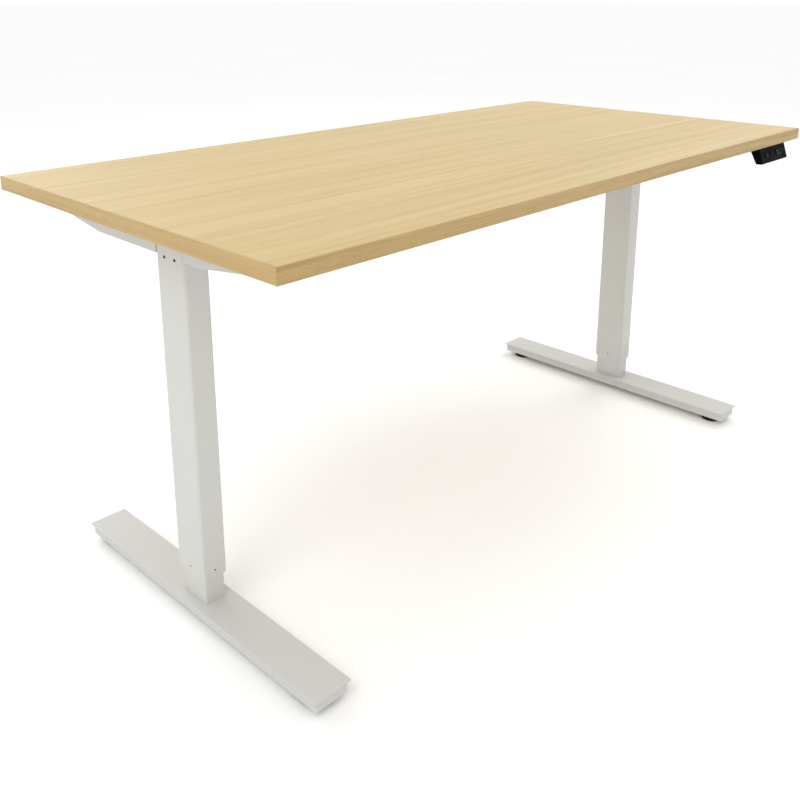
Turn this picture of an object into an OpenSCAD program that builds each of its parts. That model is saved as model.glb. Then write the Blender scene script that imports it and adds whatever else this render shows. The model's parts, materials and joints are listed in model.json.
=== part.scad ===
// Height adjustable standing desk, in millimetres.
// +X runs along the width towards the hand control, the user sits on the -Y side, and +Z is up.
// The origin is on the floor, under the middle of the worktop.

/* [Worktop] */
// Width of the worktop, left to right
top_width = 1600; // [1200:10:1950]
// Depth of the worktop, front to back
top_depth = 800; // [600:10:980]
// Thickness of the worktop
top_thickness = 25; // [18:1:32]
// Thickness of the edge bands
band_thickness = 2; // [0.8:0.2:3]

/* [Height] */
// Height of the worktop's upper face at rest
rest_height = 760; // [620:5:920]
// How far the worktop can go down from its rest height
lift_down = 45; // [20:1:80]

/* [Columns] */
// From the worktop's end to the centre of a column
column_inset = 117.5; // [90:0.5:220]
// Width of a column, left to right
column_width = 48; // [40:1:60]
// Depth of a column, front to back
column_depth = 80; // [66:1:100]
// Wall of the upper tube
tube_wall = 1.8; // [1.5:0.1:2.5]
// Gap between the lower tube and the upper tube's wall
tube_gap = 2.2; // [1.8:0.1:3]
// Radius of the upper tube's corners
tube_corner = 5; // [4:0.5:8]
// Length of the lower tube still inside the upper one at full height
column_overlap = 102.5; // [80:0.5:160]

/* [Top frame] */
// Depth of the side brackets below the worktop
bracket_drop = 65.5; // [55:0.5:80]
// Where the front arm starts to taper, from the column's centre
front_flat = 90; // [85:1:120]
// Where the back arm starts to taper, from the column's centre
back_flat = 228; // [224:1:260]
// Rise of the taper for each millimetre of its length
taper_rise = 0.137; // [0.08:0.001:0.2]
// From the worktop's front edge to the front arm's end
front_margin = 110; // [60:1:140]
// From the worktop's back edge to the back arm's end
back_margin = 50; // [30:1:120]
// Size of the cross rails, front to back
rail_depth = 40; // [30:1:44]
// Height of the cross rails
rail_height = 20; // [15:1:25]

/* [Feet] */
// Length of the feet, front to back
foot_length = 700; // [560:5:840]
// Width of the foot's cover plate
foot_width = 76; // [66:1:96]
// Thickness of the foot's cover plate
foot_plate = 3; // [2:0.5:5]
// Height of the foot's folded body
foot_body = 19; // [17:1:28]
// Height of the glides below the foot
glide_height = 13; // [11:0.5:18]
// Radius of the glides
glide_radius = 25; // [15:0.5:30]

/* [Hand control] */
// Width of the hand control
handset_width = 150; // [140:1:200]
// Height of the hand control below its mounting plate
handset_height = 37; // [34:0.5:45]
// Depth of the hand control at its lower end
handset_depth = 14; // [13:0.5:20]
// Backward lean of its front face, in degrees
handset_tilt = 18.5; // [0:0.5:24]
// Backward lean of its rear face, in degrees
handset_rear_tilt = 28; // [25:0.5:35]
// From the worktop's end to the middle of the hand control
handset_inset = 123; // [110:1:260]
// Travel of the keys
key_travel = 1; // [0.5:0.1:1.5]

/* [Part] */
// Name of the piece to draw, or all of them

/* [Hidden] */
$fn = 48;

// Colours
oak = [0.86, 0.76, 0.56];
oak_edge = [0.78, 0.66, 0.44];
coat = [0.88, 0.87, 0.84];
steel = [0.70, 0.70, 0.72];
cast = [0.62, 0.63, 0.65];
bronze = [0.72, 0.56, 0.30];
black = [0.05, 0.05, 0.055];
pale_plastic = [0.80, 0.80, 0.78];
board_green = [0.08, 0.30, 0.16];

// Fits
slide_gap = 0.3;
snug = 0.05;
eps = 0.01;

// Levels, from the floor up
foot_low = glide_height;
foot_body_top = foot_low + foot_body;
foot_top = foot_body_top + foot_plate;
top_under = rest_height - top_thickness;
lowest_gap = 5.5;
collar_low = foot_top + lift_down + lowest_gap;
collar_lip = 2.5;
tube_low = collar_low + collar_lip;
flange_thickness = 2.5;
flange_under = top_under - flange_thickness;
bracket_low = top_under - bracket_drop;

// Columns
column_x = top_width / 2 - column_inset;
cavity_width = column_width - 2 * tube_wall;
cavity_depth = column_depth - 2 * tube_wall;
inner_width = cavity_width - 2 * tube_gap;
inner_depth = cavity_depth - 2 * tube_gap;
cavity_corner = tube_corner - tube_wall;
inner_corner = cavity_corner - 0.4;
inner_wall = 2;
bore_width = inner_width - 2 * inner_wall;
bore_depth = inner_depth - 2 * inner_wall;
bore_corner = max(inner_corner - inner_wall, 0.5);
collar_height = 55;
collar_inset = 0.5;
rivet_radius = 1.75;
rivet_above_end = 11;
rivet_recess = 0.8;
pad_height = 40;
pad_lip = 2;

// Gearbox, inside the head of each column
gear_drop = 80;
gear_low = top_under - gear_drop;
gear_high = flange_under - 2.5;
gear_fit = 0.1;
inner_top = gear_low - lift_down - 7;
lift_up = inner_top - collar_low - column_overlap;
motor_z = top_under - 33;
motor_radius = 19;
motor_length = 94;
motor_start = column_depth / 2 + 6;
motor_cap = 8;
lead_boss = 4;
neck_radius = 15;
gear_screw_y = 15;
gear_screw_z = top_under - 67.5;
gear_screw_radius = 2;
gear_screw_head = 2.75;

// Spindle
spindle_radius = 8;
journal_radius = 6;
bearing_radius = 14;
bearing_height = 10;
bearing_low = gear_low + 4;
upper_bearing_low = gear_high - 14;
wheel_radius = 15;
wheel_height = 12;
wheel_low = gear_low + 33;
nut_height = 36;
nut_plate = 8;
nut_radius = 15;
nut_low = inner_top - nut_height;
spindle_low = nut_low - lift_up - 20;
spindle_high = bearing_low - slide_gap;
groove_pitch = 6;
groove_depth = 1.5;

// Side brackets
bracket_wall = 2;
flange_side = 20;
front_end = -(top_depth / 2 - front_margin);
back_end = top_depth / 2 - back_margin;
bracket_screw_x = column_width / 2 + flange_side / 2;
bracket_screw_y = [front_end + 25, -130, 130, back_end - 25];

// Cross rails and their bolts
rail_wall = 1.5;
rail_plate = 4;
rail_plate_depth = rail_depth + 4;
rail_plate_height = 50;
rail_top = top_under - 10;
rail_low = rail_top - rail_height;
front_rail_y = -(column_depth / 2 + 26);
back_rail_y = column_depth / 2 + 160;
rail_end = column_x - column_width / 2;
rail_bolt_y = 12;
rail_bolt_z = rail_top - 36;
bolt_radius = 4;
bolt_clear = 0.3;
bolt_head_radius = 7.4;
bolt_head = 5.3;
bolt_nut = 6.5;
bolt_past = 2;

// Wood screws
screw_radius = 2;
screw_head_radius = 4;
screw_head = 2.5;
screw_depth = 15;

// Feet
plate_over_side = 5;
plate_over_end = 4;
body_width = foot_width - 2 * plate_over_side;
body_length = foot_length - 2 * plate_over_end;
body_wall = 2;
plate_corner = 2;
glide_y = foot_length / 2 - 45;
glide_pad = 6;
glide_hub_radius = 8.5;
stud_radius = 5;
stud_top = foot_body_top - 2;
glide_nut_radius = 9;
glide_nut_height = foot_body - body_wall - 4;
anchor_length = 90;
plug_height = 14;
foot_bolt_x = 10;
foot_bolt_y = 22;
foot_bolt_head_radius = 7;
foot_bolt_head = 5;

// Control box, under the worktop
box_width = 252;
box_depth = 112;
box_height = 38;
box_base = 3;
box_wall = 2.5;
box_front = 4;
box_middle = box_front + box_depth / 2;
box_ear = 14;
box_top = top_under - box_base;
box_low = box_top - box_height;
board_thickness = 1.6;
board_low = box_low + 12;
board_margin = 6;
post_radius = 3;
inlet_x = -60;
inlet_width = 30;
inlet_height = 22;
inlet_depth = 22;
inlet_mouth_width = 25;
inlet_mouth_height = 17;
inlet_mouth_depth = 18;
inlet_lip = 2;
inlet_z = box_low + 19;
inlet_pin_length = 9;

// Leads: route points are round numbers, mirrored from one side to the other
lead_radius = 2.5;
lead_sides = 8;
lead_bend = 12;
lead_entry_z = top_under - 13;
lead_run_z = top_under - 6;
web_hole_radius = 5;
lead_web_y = column_depth / 2 + 132;
motor_end = motor_start + motor_length + motor_cap + lead_boss;
motor_route = [
  [column_x, motor_end, motor_z],
  [column_x, lead_web_y, motor_z],
  [column_x - 52, lead_web_y, motor_z],
  [column_x - 120, 140, lead_run_z],
  [180, box_middle, lead_run_z],
  [150, box_middle, lead_entry_z],
  [box_width / 2 - 8, box_middle, lead_entry_z]
];
handset_lead_radius = 2;

// Hand control
handset_x = top_width / 2 - handset_inset;
handset_front = -top_depth / 2;
handset_top = top_under - flange_thickness;
handset_low = handset_top - handset_height;
handset_back = handset_front + 62;
handset_wall = 2.5;
handset_corner = 8;
handset_ledge = 3;
handset_mid = (handset_top + handset_low) / 2;
plate_over = 3;
key_width = 34;
key_height = 16;
key_x = 30;
key_proud = 1;
key_deep = 5;
key_flange = 2;
key_flange_thickness = 1.2;
key_flange_gap = 0.02;
key_mark_radius = 4;
key_mark_depth = 0.4;
switch_radius = 3;
switch_height = 1.2;
switch_gap = 0.2;
handset_board_top = -(key_deep + key_travel + switch_gap + switch_height);
handset_board_width = handset_width - 20;
handset_board_height = 24;
handset_post_x = handset_board_width / 2 - 7;
handset_screw_x = handset_width / 2 - 12;
handset_screw_y = handset_back - 10;
handset_screw_radius = 1.9;
handset_screw_head = 3.5;
handset_exit_z = handset_top - handset_ledge - 6;
handset_exit_y = handset_front + handset_depth + (handset_exit_z - handset_low) * tan(handset_rear_tilt);
handset_route = [
  [handset_x, handset_exit_y - 7, handset_exit_z],
  [handset_x, handset_back + 22, handset_exit_z],
  [handset_x - 60, handset_back + 22, lead_run_z],
  [handset_x - 360, -200, lead_run_z],
  [60, -120, lead_run_z],
  [60, -24, lead_run_z],
  [60, -10, lead_entry_z],
  [60, box_front + 8, lead_entry_z]
];
clip_length = 8;
clip_width = 14;
clip_low = lead_run_z - 5;

// --- Helpers ---------------------------------------------------------------

// A box with rounded upright edges, centred in X and Y
module rounded_box(width, depth, height, corner) {
  linear_extrude(height)
    rounded_outline(width, depth, corner);
}

// A rectangle with round corners, centred
module rounded_outline(width, depth, corner) {
  union() {
    square([width - 2 * corner, depth], center = true);
    square([width, depth - 2 * corner], center = true);
    for (sx = [-1, 1]) {
      for (sy = [-1, 1]) {
        translate([sx * (width / 2 - corner), sy * (depth / 2 - corner)])
          circle(corner);
      }
    }
  }
}

// A hollow upright tube with round corners
module ring_box(width, depth, height, corner, in_width, in_depth, in_corner) {
  linear_extrude(height)
    difference() {
      rounded_outline(width, depth, corner);
      rounded_outline(in_width, in_depth, in_corner);
    }
}

// Children are drawn at the column of one side: 1 is right and -1 is left
module at_side(side) {
  translate([side * column_x, 0, 0])
    mirrored(side)
      children();
}

// Children are mirrored in X when the side is -1
module mirrored(side) {
  if (side < 0) {
    mirror([1, 0, 0])
      children();
  } else {
    children();
  }
}

// A side outline, given as Y and Z points, pushed along X about X = 0
module push_x(width) {
  translate([-width / 2, 0, 0])
    rotate([90, 0, 90])
      linear_extrude(width)
        children();
}

// A cylinder lying along X, from its start towards +X
module rod_x(start, length, radius, sides = 48) {
  translate(start)
    rotate([0, 90, 0])
      cylinder(h = length, r = radius, $fn = sides);
}

// A cylinder lying along Y, from its start towards +Y
module rod_y(start, length, radius, sides = 48) {
  translate(start)
    rotate([-90, 0, 0])
      cylinder(h = length, r = radius, $fn = sides);
}

// A wood screw that points up, with its head's upper face at the given level
module wood_screw(x, y, level, length, radius, head_radius, head) {
  translate([x, y, level])
    cylinder(h = length, r = radius);
  translate([x, y, level - head])
    cylinder(h = head, r1 = head_radius * 0.8, r2 = head_radius);
}

// --- Leads -----------------------------------------------------------------

function unit(v) = v / norm(v);

// The bend that replaces one corner of a route
function bend(before, corner, after, reach) =
  let (a = corner + unit(before - corner) * reach)
  let (b = corner + unit(after - corner) * reach)
  [for (t = [0:0.2:1]) a * (1 - t) * (1 - t) + corner * 2 * t * (1 - t) + b * t * t];

// A route with every corner rounded
function smooth(route, reach) = concat(
  [route[0]],
  [for (i = [1:len(route) - 2]) each bend(route[i - 1], route[i], route[i + 1], reach)],
  [route[len(route) - 1]]
);

// The direction of a path at one of its points
function heading(path, i) =
  unit(path[min(i + 1, len(path) - 1)] - path[max(i - 1, 0)]);

// A sideways direction at each point, carried along without twist
function sideways(path, i, last) =
  i == len(path)
    ? []
    : let (h = heading(path, i))
      let (now = unit(last - h * (last * h)))
      concat([now], sideways(path, i + 1, now));

// A round lead of the given radius along a route
module lead(route, radius, reach, first_side) {
  path = smooth(route, reach);
  side = sideways(path, 0, first_side);
  count = len(path);
  corners = [
    for (i = [0:count - 1])
      let (across = cross(heading(path, i), side[i]))
      for (k = [0:lead_sides - 1])
        let (a = 360 * k / lead_sides)
        path[i] + radius * (side[i] * cos(a) + across * sin(a))
  ];
  walls = [
    for (i = [0:count - 2])
      for (k = [0:lead_sides - 1])
        let (n = (k + 1) % lead_sides)
        each [
          [i * lead_sides + k, (i + 1) * lead_sides + n, i * lead_sides + n],
          [i * lead_sides + k, (i + 1) * lead_sides + k, (i + 1) * lead_sides + n]
        ]
  ];
  first_cap = [for (k = [0:lead_sides - 1]) k];
  last_cap = [for (k = [lead_sides - 1:-1:0]) (count - 1) * lead_sides + k];
  polyhedron(points = corners, faces = concat([first_cap, last_cap], walls));
}

// --- Worktop ---------------------------------------------------------------

// Centres of the wood screws that hold the brackets, as X and Y
bracket_screws = [
  for (side = [-1, 1])
    for (sx = [-1, 1])
      for (y = bracket_screw_y)
        [side * column_x + sx * bracket_screw_x, y]
];

// Centres of the wood screws that hold the control box
box_screws = [
  for (sx = [-1, 1])
    for (sy = [-1, 1])
      [sx * (box_width / 2 + box_ear / 2), box_middle + sy * (box_depth / 2 - 14)]
];

// Centres of the screws that hold the hand control
handset_screws_at = [
  for (sx = [-1, 1])
    [handset_x + sx * handset_screw_x, handset_screw_y]
];

module worktop_panel() {
  color(oak)
    difference() {
      translate([-top_width / 2 + band_thickness, -top_depth / 2 + band_thickness, top_under])
        cube([top_width - 2 * band_thickness, top_depth - 2 * band_thickness, top_thickness]);
      for (at = concat(bracket_screws, box_screws)) {
        translate([at[0], at[1], top_under - 1])
          cylinder(h = screw_depth + 1 + snug, r = screw_radius + snug);
      }
      for (at = handset_screws_at) {
        translate([at[0], at[1], top_under - 1])
          cylinder(h = screw_depth + 1 + snug, r = handset_screw_radius + snug);
      }
    }
}

module edge_bands_long() {
  color(oak_edge)
    for (y = [-top_depth / 2, top_depth / 2 - band_thickness]) {
      translate([-top_width / 2, y, top_under])
        cube([top_width, band_thickness, top_thickness]);
    }
}

module edge_bands_short() {
  color(oak_edge)
    for (x = [-top_width / 2, top_width / 2 - band_thickness]) {
      translate([x, -top_depth / 2 + band_thickness, top_under])
        cube([band_thickness, top_depth - 2 * band_thickness, top_thickness]);
    }
}

module worktop_screws() {
  color(steel)
    for (at = bracket_screws) {
      wood_screw(at[0], at[1], flange_under, screw_depth + flange_thickness,
        screw_radius, screw_head_radius, screw_head);
    }
}

// --- Top frame -------------------------------------------------------------

// Side outline of both arms of a bracket, with its faces moved in by the given amount
module arm_outline(inset) {
  low = bracket_low + inset;
  front_tip = bracket_low + taper_rise * (-front_end - front_flat) + inset;
  back_tip = bracket_low + taper_rise * (back_end - back_flat) + inset;
  polygon([
    [front_end + inset, flange_under + inset],
    [front_end + inset, front_tip],
    [-front_flat, low],
    [back_flat, low],
    [back_end - inset, back_tip],
    [back_end - inset, flange_under + inset]
  ]);
}

module top_bracket() {
  difference() {
    union() {
      push_x(column_width)
        arm_outline(0);
      translate([-column_width / 2 - flange_side, front_end, flange_under])
        cube([column_width + 2 * flange_side, back_end - front_end, flange_thickness]);
    }
    // The channel inside the arms
    difference() {
      push_x(column_width - 2 * bracket_wall)
        arm_outline(bracket_wall);
      translate([-column_width, front_end - 1, flange_under])
        cube([2 * column_width, back_end - front_end + 2, flange_thickness + 1]);
    }
    // The column's place, right up to the flange
    translate([0, 0, bracket_low - 1])
      linear_extrude(bracket_drop - flange_thickness + 1)
        square([column_width + 2, column_depth], center = true);
    // Screw holes in the flange
    for (sx = [-1, 1]) {
      for (y = bracket_screw_y) {
        translate([sx * bracket_screw_x, y, flange_under - 1])
          cylinder(h = flange_thickness + 2, r = screw_radius + bolt_clear);
      }
    }
    // Bolt holes for the rails, in the web that faces the middle of the desk
    for (y = [front_rail_y, back_rail_y]) {
      for (sy = [-1, 1]) {
        rod_x([-column_width / 2 - 1, y + sy * rail_bolt_y, rail_bolt_z],
          bracket_wall + 2, bolt_radius + bolt_clear);
      }
    }
    // Outlet of the motor lead
    rod_x([-column_width / 2 - 1, lead_web_y, motor_z], bracket_wall + 2, web_hole_radius);
  }
}

module left_top_bracket() {
  color(coat)
    at_side(-1)
      top_bracket();
}

module right_top_bracket() {
  color(coat)
    at_side(1)
      top_bracket();
}

// A rectangular tube between two bolted end plates
module rail(y) {
  color(coat)
    translate([0, y, 0]) {
      difference() {
        union() {
          translate([-rail_end + rail_plate, -rail_depth / 2, rail_low])
            cube([2 * (rail_end - rail_plate), rail_depth, rail_height]);
          for (sx = [-1, 1]) {
            translate([sx * (rail_end - rail_plate / 2), 0, rail_top - rail_plate_height / 2 + 2])
              cube([rail_plate, rail_plate_depth, rail_plate_height], center = true);
          }
        }
        translate([-rail_end + rail_plate, -rail_depth / 2 + rail_wall, rail_low + rail_wall])
          cube([2 * (rail_end - rail_plate), rail_depth - 2 * rail_wall, rail_height - 2 * rail_wall]);
        for (sx = [-1, 1]) {
          for (sy = [-1, 1]) {
            rod_x([sx * (rail_end - rail_plate / 2) - rail_plate, sy * rail_bolt_y, rail_bolt_z],
              2 * rail_plate, bolt_radius + bolt_clear);
          }
        }
      }
    }
}

module front_rail() {
  rail(front_rail_y);
}

module back_rail() {
  rail(back_rail_y);
}

// One rail bolt with its nut, on the right side of the desk
module rail_bolt(y) {
  web_inside = rail_end + bracket_wall;
  plate_inside = rail_end - rail_plate;
  rod_x([web_inside, y, rail_bolt_z], bolt_head, bolt_head_radius, 6);
  rod_x([plate_inside - bolt_nut - bolt_past, y, rail_bolt_z],
    web_inside - plate_inside + bolt_nut + bolt_past + eps, bolt_radius);
  difference() {
    rod_x([plate_inside - bolt_nut, y, rail_bolt_z], bolt_nut, bolt_head_radius, 6);
    rod_x([plate_inside - bolt_nut - 1, y, rail_bolt_z], bolt_nut + 2, bolt_radius + snug);
  }
}

module rail_bolts() {
  color(steel)
    for (side = [-1, 1]) {
      mirrored(side)
        for (y = [front_rail_y, back_rail_y]) {
          for (sy = [-1, 1]) {
            rail_bolt(y + sy * rail_bolt_y);
          }
        }
    }
}

// --- Columns ---------------------------------------------------------------

module outer_tube() {
  difference() {
    translate([0, 0, tube_low])
      ring_box(column_width, column_depth, flange_under - tube_low, tube_corner,
        cavity_width, cavity_depth, cavity_corner);
    // Rivet holes above the lower end, one in each face
    rod_x([-column_width, 0, tube_low + rivet_above_end], 2 * column_width, rivet_radius);
    rod_y([0, -column_depth, tube_low + rivet_above_end], 2 * column_depth, rivet_radius);
    // Holes for the gearbox screws
    for (sy = [-1, 1]) {
      rod_x([-column_width, sy * gear_screw_y, gear_screw_z], 2 * column_width,
        gear_screw_radius + snug);
    }
    // Window for the gearbox's neck
    rod_y([0, 0, motor_z], column_depth, neck_radius + 0.5);
  }
}

module left_outer_tube() {
  color(coat)
    at_side(-1)
      outer_tube();
}

module right_outer_tube() {
  color(coat)
    at_side(1)
      outer_tube();
}

module slide_collar() {
  in_width = inner_width + 2 * slide_gap;
  in_depth = inner_depth + 2 * slide_gap;
  in_corner = inner_corner + slide_gap;
  peg_reach = tube_wall - rivet_recess + 1;
  translate([0, 0, collar_low])
    ring_box(column_width - 2 * collar_inset, column_depth - 2 * collar_inset, collar_lip,
      tube_corner - collar_inset, in_width, in_depth, in_corner);
  translate([0, 0, tube_low - eps])
    ring_box(cavity_width, cavity_depth, collar_height, cavity_corner,
      in_width, in_depth, in_corner);
  for (side = [0, 180]) {
    rotate([0, 0, side]) {
      rod_x([cavity_width / 2 - 1, 0, tube_low + rivet_above_end], peg_reach, rivet_radius);
      rod_y([0, cavity_depth / 2 - 1, tube_low + rivet_above_end], peg_reach, rivet_radius);
    }
  }
}

module left_slide_collar() {
  color(pale_plastic)
    at_side(-1)
      slide_collar();
}

module right_slide_collar() {
  color(pale_plastic)
    at_side(1)
      slide_collar();
}

module inner_tube() {
  translate([0, 0, foot_top])
    ring_box(inner_width, inner_depth, inner_top - foot_top, inner_corner,
      bore_width, bore_depth, bore_corner);
}

module left_inner_tube() {
  color(coat)
    at_side(-1)
      inner_tube();
}

module right_inner_tube() {
  color(coat)
    at_side(1)
      inner_tube();
}

module guide_pad() {
  out_width = cavity_width - 2 * slide_gap;
  out_depth = cavity_depth - 2 * slide_gap;
  out_corner = cavity_corner - slide_gap;
  translate([0, 0, inner_top - pad_height])
    ring_box(out_width, out_depth, pad_height, out_corner, inner_width, inner_depth, inner_corner);
  translate([0, 0, inner_top])
    ring_box(out_width, out_depth, pad_lip, out_corner, bore_width, bore_depth, bore_corner);
}

module left_guide_pad() {
  color(black)
    at_side(-1)
      guide_pad();
}

module right_guide_pad() {
  color(black)
    at_side(1)
      guide_pad();
}

// --- Drive -----------------------------------------------------------------

module gearbox() {
  height = gear_high - gear_low;
  difference() {
    union() {
      translate([0, 0, gear_low])
        rounded_box(cavity_width - 2 * gear_fit, cavity_depth - 2 * gear_fit, height, cavity_corner);
      rod_y([0, cavity_depth / 2 - 3, motor_z], motor_start - cavity_depth / 2 + 3, neck_radius);
    }
    // Way in for the spindle, and seats for its two bearings
    translate([0, 0, gear_low - 1])
      cylinder(h = height - 2, r = spindle_radius + 1);
    translate([0, 0, bearing_low])
      cylinder(h = bearing_height, r = bearing_radius);
    translate([0, 0, upper_bearing_low])
      cylinder(h = bearing_height, r = bearing_radius);
    // Chamber of the worm wheel
    translate([0, 0, wheel_low - 1])
      cylinder(h = wheel_height + 2, r = wheel_radius + 1);
    // Screw holes
    for (sx = [-1, 1]) {
      for (sy = [-1, 1]) {
        mirrored(sx)
          rod_x([column_width / 2 - 9, sy * gear_screw_y, gear_screw_z], 10, gear_screw_radius + snug);
      }
    }
  }
}

module left_gearbox() {
  color(cast)
    at_side(-1)
      gearbox();
}

module right_gearbox() {
  color(cast)
    at_side(1)
      gearbox();
}

module gearbox_screws() {
  color(black)
    for (side = [-1, 1]) {
      for (face = [-1, 1]) {
        for (sy = [-1, 1]) {
          at_side(side)
            mirrored(face) {
              rod_x([column_width / 2 - 8, sy * gear_screw_y, gear_screw_z], 8 + eps, gear_screw_radius);
              rod_x([column_width / 2, sy * gear_screw_y, gear_screw_z], 1, gear_screw_head);
            }
        }
      }
    }
}

module motor() {
  rod_y([0, motor_start, motor_z], motor_length, motor_radius);
  rod_y([0, motor_start + motor_length - eps, motor_z], motor_cap + eps, motor_radius - 2);
  rod_y([0, motor_start + motor_length + motor_cap - eps, motor_z], lead_boss + eps, lead_radius + 2.5);
}

module left_motor() {
  color(black)
    at_side(-1)
      motor();
}

module right_motor() {
  color(black)
    at_side(1)
      motor();
}

module spindle_bearings() {
  color(steel)
    for (side = [-1, 1]) {
      for (low = [bearing_low, upper_bearing_low]) {
        at_side(side)
          translate([0, 0, low])
            difference() {
              cylinder(h = bearing_height, r = bearing_radius);
              translate([0, 0, -1])
                cylinder(h = bearing_height + 2, r = journal_radius + snug);
            }
      }
    }
}

// Screw spindle: the thread is drawn as rings
module spindle() {
  length = spindle_high - spindle_low;
  rings = floor((length - 20) / groove_pitch);
  root = spindle_radius - groove_depth;
  outline = concat(
    [[0, 0], [spindle_radius - 1, 0], [spindle_radius, 1]],
    [
      for (i = [0:rings - 1])
        let (z = 8 + i * groove_pitch)
        each [
          [spindle_radius, z],
          [root, z + groove_pitch * 0.2],
          [root, z + groove_pitch * 0.5],
          [spindle_radius, z + groove_pitch * 0.7]
        ]
    ],
    [[spindle_radius, length], [0, length]]
  );
  translate([0, 0, spindle_low])
    rotate_extrude()
      polygon(outline);
  translate([0, 0, spindle_high - eps])
    cylinder(h = upper_bearing_low + bearing_height - spindle_high, r = journal_radius);
}

module left_spindle() {
  color(steel)
    at_side(-1)
      spindle();
}

module right_spindle() {
  color(steel)
    at_side(1)
      spindle();
}

// Worm wheel: short straight teeth round a hub
module worm_wheel() {
  teeth = 30;
  tooth = 1.6;
  translate([0, 0, wheel_low])
    difference() {
      cylinder(h = wheel_height, r = wheel_radius);
      translate([0, 0, -1])
        cylinder(h = wheel_height + 2, r = journal_radius + snug);
      for (i = [0:teeth - 1]) {
        rotate([0, 0, i * 360 / teeth])
          translate([wheel_radius, 0, wheel_height / 2])
            cube([2 * tooth, tooth, wheel_height - 3], center = true);
      }
    }
}

module left_worm_wheel() {
  color(bronze)
    at_side(-1)
      worm_wheel();
}

module right_worm_wheel() {
  color(bronze)
    at_side(1)
      worm_wheel();
}

module spindle_nut() {
  difference() {
    union() {
      translate([0, 0, inner_top - nut_plate])
        rounded_box(bore_width - 2 * snug, bore_depth - 2 * snug, nut_plate, bore_corner);
      translate([0, 0, nut_low])
        cylinder(h = nut_height, r = nut_radius);
    }
    translate([0, 0, nut_low - 1])
      cylinder(h = nut_height + 2, r = spindle_radius + slide_gap);
  }
}

module left_spindle_nut() {
  color(bronze)
    at_side(-1)
      spindle_nut();
}

module right_spindle_nut() {
  color(bronze)
    at_side(1)
      spindle_nut();
}

// --- Feet ------------------------------------------------------------------

// Places the bolts between a foot and its column
module at_foot_bolts() {
  for (sx = [-1, 1]) {
    for (sy = [-1, 1]) {
      translate([sx * foot_bolt_x, sy * foot_bolt_y, 0])
        children();
    }
  }
}

module column_base_plugs() {
  color(steel)
    for (side = [-1, 1]) {
      at_side(side)
        difference() {
          translate([0, 0, foot_top])
            rounded_box(bore_width - 2 * snug, bore_depth - 2 * snug, plug_height, bore_corner);
          at_foot_bolts()
            translate([0, 0, foot_top - 1])
              cylinder(h = plug_height + 2, r = bolt_radius + snug);
        }
    }
}

module foot_cover() {
  difference() {
    translate([0, 0, foot_body_top])
      rounded_box(foot_width, foot_length, foot_plate, plate_corner);
    at_foot_bolts()
      translate([0, 0, foot_body_top - 1])
        cylinder(h = foot_plate + 2, r = bolt_radius + bolt_clear);
  }
}

module left_foot_plate() {
  color(coat)
    at_side(-1)
      foot_cover();
}

module right_foot_plate() {
  color(coat)
    at_side(1)
      foot_cover();
}

module foot_tray() {
  difference() {
    translate([0, 0, foot_low])
      rounded_box(body_width, body_length, foot_body, plate_corner);
    translate([-body_width / 2 + body_wall, -body_length / 2 + body_wall, foot_low + body_wall])
      cube([body_width - 2 * body_wall, body_length - 2 * body_wall, foot_body]);
    at_foot_bolts()
      translate([0, 0, foot_low - 1])
        cylinder(h = body_wall + 2, r = bolt_radius + bolt_clear);
    for (sy = [-1, 1]) {
      translate([0, sy * glide_y, foot_low - 1])
        cylinder(h = body_wall + 2, r = stud_radius + slide_gap);
    }
  }
}

module left_foot_body() {
  color(coat)
    at_side(-1)
      foot_tray();
}

module right_foot_body() {
  color(coat)
    at_side(1)
      foot_tray();
}

module foot_anchor_blocks() {
  low = foot_low + body_wall;
  color(steel)
    for (side = [-1, 1]) {
      at_side(side)
        difference() {
          translate([0, 0, low])
            rounded_box(body_width - 2 * body_wall, anchor_length, foot_body_top - low, 1);
          at_foot_bolts()
            translate([0, 0, low - 1])
              cylinder(h = foot_body + 2, r = bolt_radius + bolt_clear);
        }
    }
}

module column_bolts() {
  color(steel)
    for (side = [-1, 1]) {
      at_side(side)
        at_foot_bolts() {
          translate([0, 0, foot_low - eps])
            cylinder(h = foot_top + plug_height - 1 - foot_low, r = bolt_radius);
          difference() {
            translate([0, 0, foot_low - foot_bolt_head])
              cylinder(h = foot_bolt_head, r1 = foot_bolt_head_radius - 2, r2 = foot_bolt_head_radius);
            translate([0, 0, foot_low - foot_bolt_head - 1])
              cylinder(h = 3.5, r = 2.9, $fn = 6);
          }
        }
    }
}

module glide_nuts() {
  color(steel)
    for (side = [-1, 1]) {
      for (sy = [-1, 1]) {
        at_side(side)
          translate([0, sy * glide_y, foot_low + body_wall])
            difference() {
              cylinder(h = glide_nut_height, r = glide_nut_radius, $fn = 6);
              translate([0, 0, -1])
                cylinder(h = glide_nut_height + 2, r = stud_radius + slide_gap);
            }
      }
    }
}

// A levelling glide: a round pad, a hexagon to turn it by and a stud
module glide(side, end) {
  color(black)
    at_side(side)
      translate([0, end * glide_y, 0]) {
        rotate_extrude()
          polygon([
            [0, 0],
            [glide_radius - 1, 0],
            [glide_radius, 1],
            [glide_radius, glide_pad - 2.5],
            [glide_radius - 2.5, glide_pad],
            [0, glide_pad]
          ]);
        translate([0, 0, glide_pad - eps])
          cylinder(h = foot_low - glide_pad + eps, r = glide_hub_radius, $fn = 6);
        translate([0, 0, foot_low - eps])
          cylinder(h = stud_top - foot_low + eps, r = stud_radius);
      }
}

module glide_left_front() {
  glide(-1, -1);
}

module glide_left_back() {
  glide(-1, 1);
}

module glide_right_front() {
  glide(1, -1);
}

module glide_right_back() {
  glide(1, 1);
}

// --- Control box and leads -------------------------------------------------

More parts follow.
